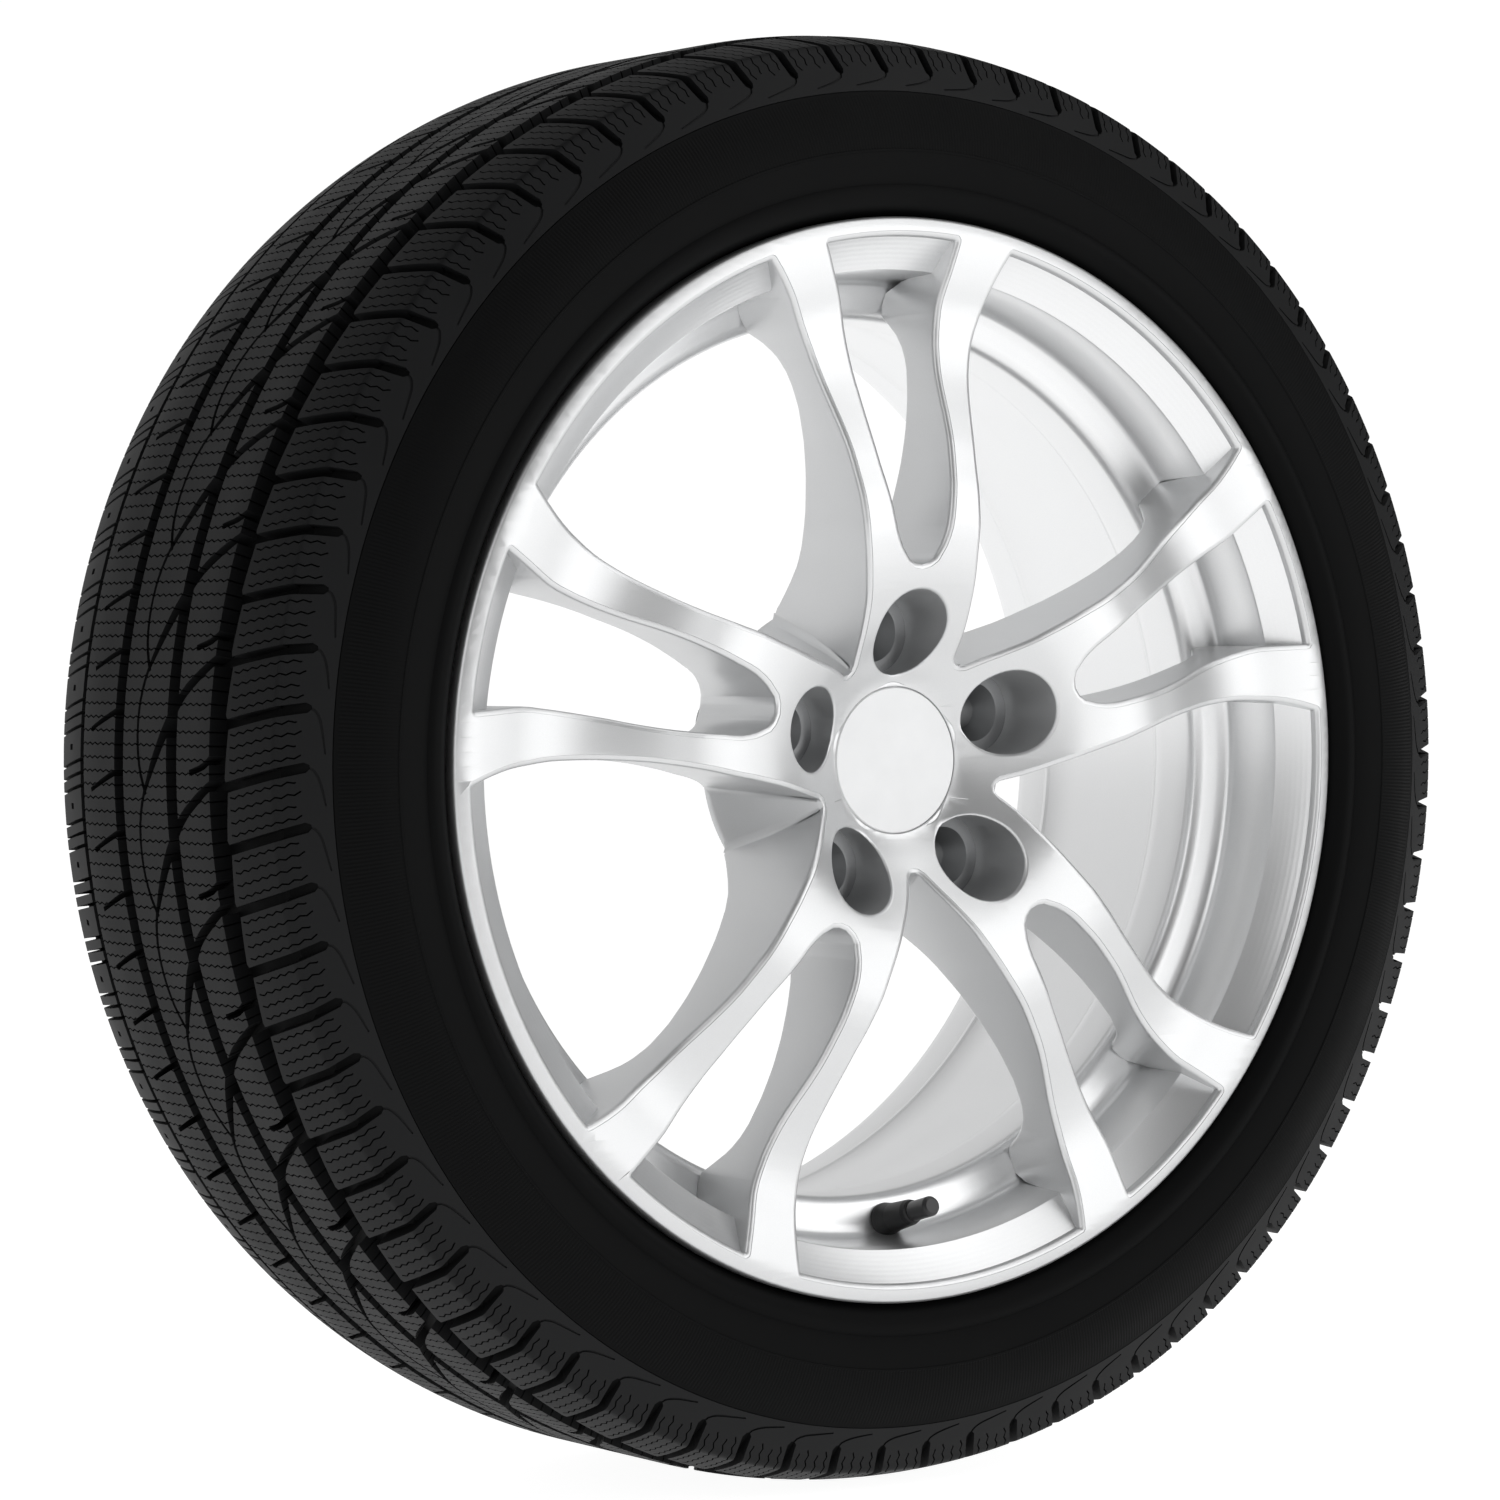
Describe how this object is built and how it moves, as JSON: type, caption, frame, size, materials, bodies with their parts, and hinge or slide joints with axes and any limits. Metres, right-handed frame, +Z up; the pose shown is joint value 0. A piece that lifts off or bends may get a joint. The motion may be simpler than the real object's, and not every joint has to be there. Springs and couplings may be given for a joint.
{
  "type": "winter wheel with tyre",
  "caption": "Winter tyre with a siped, grooved tread on a forked-spoke cast alloy wheel, with a plain centre cap and a snap-in valve.",
  "frame": {"origin": "centre of the hub bore in the wheel's mounting face", "axes": "+Y along the axle, inboard, away from the spokes' outer face; +Z up; seen from outboard +X is to the right"},
  "size_m": [0.6382, 0.2338, 0.6382],
  "materials": {
    "tyre_rubber": "satin black winter tread rubber",
    "silver_alloy": "silver wheel lacquer on cast aluminium",
    "cap_plastic": "pale silver painted plastic",
    "spring_steel": "drawn spring wire",
    "valve_rubber": "black moulded rubber",
    "brass": "plain turned brass",
    "seal_rubber": "small moulded seals",
    "black_plastic": "black moulded plastic"
  },
  "bodies": {
    "wheel": {"tyre": "tyre_rubber", "rim_barrel": "silver_alloy", "rim_hub": "silver_alloy", "fork_1": "silver_alloy", "fork_2": "silver_alloy", "fork_3": "silver_alloy", "fork_4": "silver_alloy", "fork_5": "silver_alloy", "centre_cap": "cap_plastic", "cap_spring_ring": "spring_steel", "valve_body": "valve_rubber", "valve_stem": "brass", "core_housing": "brass", "core_gasket": "seal_rubber", "core_spring": "spring_steel"},
    "valve_pin": {"core_pin": "brass", "core_cup_seal": "seal_rubber"},
    "cap_lift": {"dust_cap_seal": "seal_rubber"},
    "cap_turn": {"dust_cap": "black_plastic"}
  },
  "joints": [
    {"name": "pin_press", "type": "slide", "parent": "wheel", "child": "valve_pin", "axis": [0.0181, 0.9659, -0.2582], "range_m": [0, 0.001], "stiffness_N_per_m": 1200, "springref_m": -0.0006, "deforming": ["core_spring"]},
    {"name": "cap_lift", "type": "slide", "parent": "wheel", "child": "cap_lift", "axis": [-0.0181, -0.9659, 0.2582], "range_m": [0, 0.00556]},
    {"name": "cap_unscrew", "type": "hinge", "parent": "cap_lift", "child": "cap_turn", "pos_m": [0.01376, -0.05084, -0.19676], "axis": [-0.0181, -0.9659, 0.2582], "range_deg": [0, 2520]}
  ],
  "couplings": [
    {"joint": "cap_unscrew", "follows": "cap_lift", "rad_per_m": 7913.3}
  ]
}
